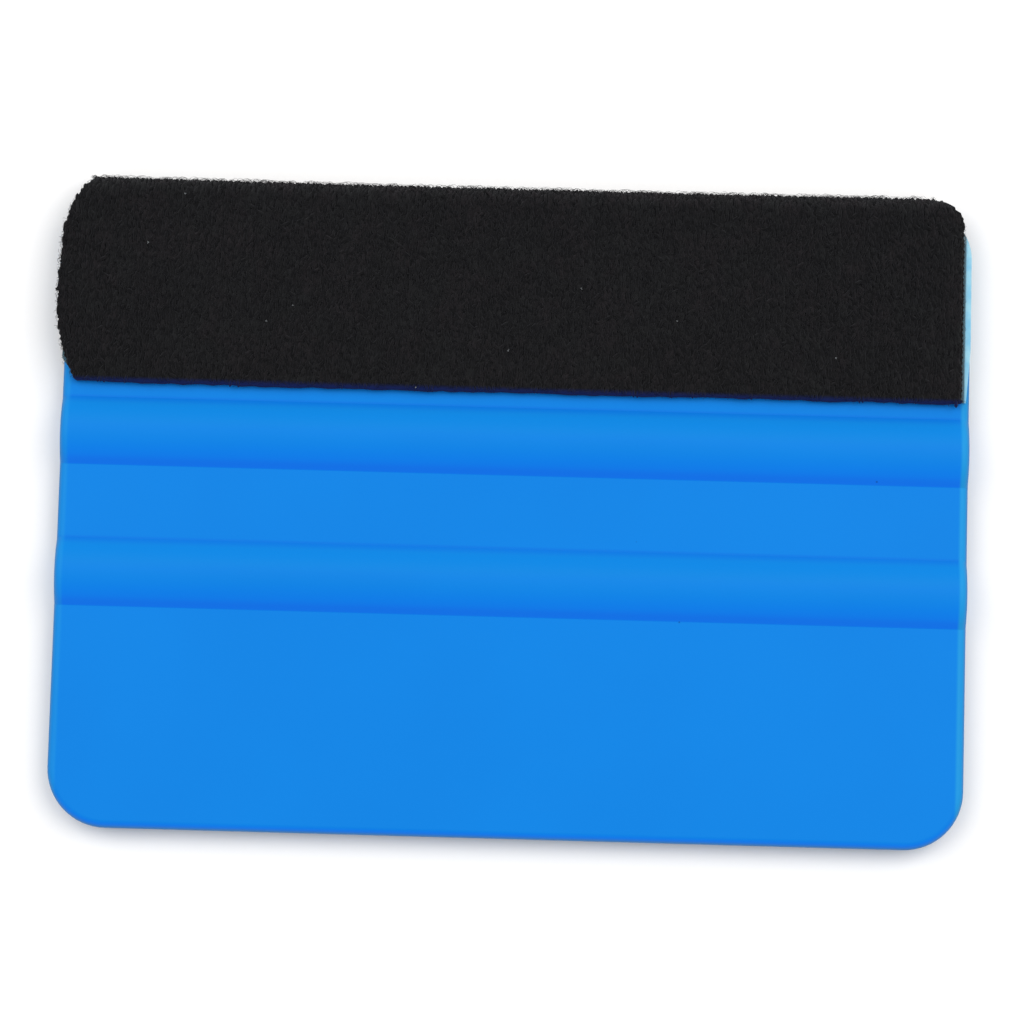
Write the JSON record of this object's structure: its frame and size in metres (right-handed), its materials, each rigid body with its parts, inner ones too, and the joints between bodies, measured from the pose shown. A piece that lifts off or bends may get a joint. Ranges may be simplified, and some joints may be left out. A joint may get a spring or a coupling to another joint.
{
  "type": "squeegee applicator",
  "caption": "Flat moulded hand card for pressing down vinyl film, with rounded finger ribs on both faces and a soft felt strip folded over its working edge.",
  "frame": {"origin": "centre of the outline, on the plane the tool rests on when it lies on its back face", "axes": "+X along the card's long side, +Y across the card towards the felted working edge, +Z out of the front face"},
  "size_m": [0.101, 0.072, 0.0048],
  "materials": {
    "card_plastic": "satin injection-moulded polypropylene, bright blue, with a finely polished mould surface and faint rubbing marks",
    "adhesive_film": "milky, slightly translucent acrylic adhesive film",
    "felt": "black knitted loop velour with short looped pile, cut ends left raw"
  },
  "bodies": {
    "root": {"applicator_card": "card_plastic", "adhesive_film": "adhesive_film", "felt_strip": "felt"}
  },
  "joints": []
}
